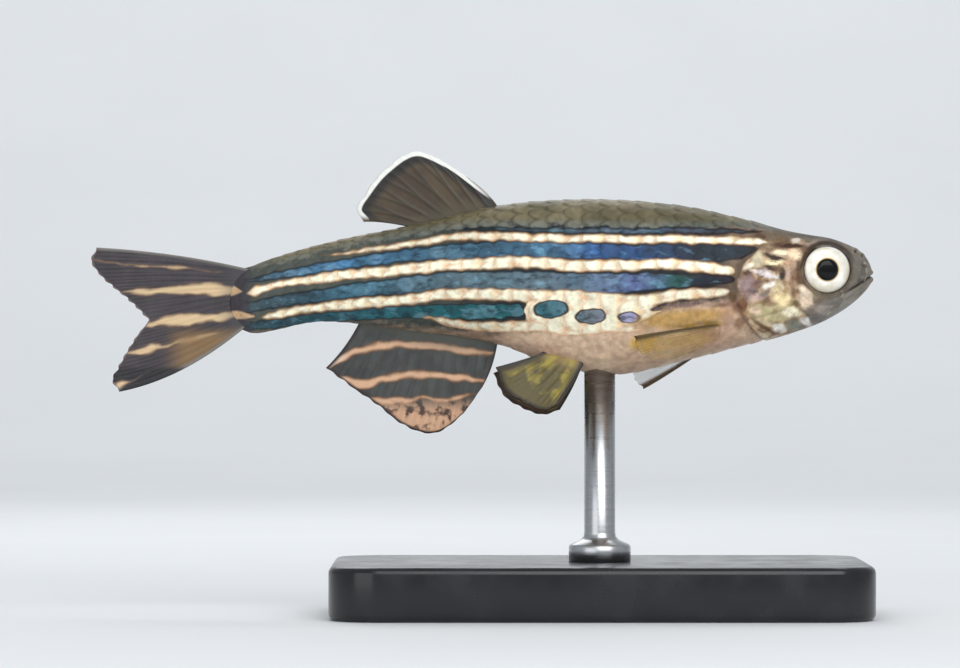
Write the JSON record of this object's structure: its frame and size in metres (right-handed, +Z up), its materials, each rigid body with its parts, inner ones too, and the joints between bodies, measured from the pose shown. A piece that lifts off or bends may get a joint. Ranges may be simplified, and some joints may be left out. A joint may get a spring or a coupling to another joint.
{
  "type": "zebra danio",
  "caption": "Life-size still zebra danio with spread fins, held in mid-water on a plain display stand.",
  "frame": {"origin": "centre of the display stand's underside, straight below the rod", "axes": "+X towards the fish's head, +Y to its left, +Z up"},
  "size_m": [0.0381, 0.015, 0.0224],
  "materials": {
    "skin": "moist, scaled, striped gold and blue",
    "eyes": "wet gloss",
    "striped_fins": "thin translucent web, striped",
    "yellow_fins": "thin translucent web",
    "barbels": "moist",
    "stand_base": "satin black acrylic",
    "stand_rod": "brushed"
  },
  "bodies": {
    "root": {"head": "skin", "lower_jaw": "skin", "gill_cover_right": "skin", "gill_cover_left": "skin", "trunk": "skin", "tail_stem": "skin", "eye_right": "eyes", "eye_left": "eyes", "dorsal_fin": "striped_fins", "anal_fin": "striped_fins", "tail_fin_upper": "striped_fins", "tail_fin_lower": "striped_fins", "pectoral_fin_right": "yellow_fins", "pectoral_fin_left": "yellow_fins", "pelvic_fin_right": "yellow_fins", "pelvic_fin_left": "yellow_fins", "snout_barbel_right": "barbels", "snout_barbel_left": "barbels", "mouth_barbel_right": "barbels", "mouth_barbel_left": "barbels", "stand_base": "stand_base", "stand_rod": "stand_rod"}
  },
  "joints": []
}
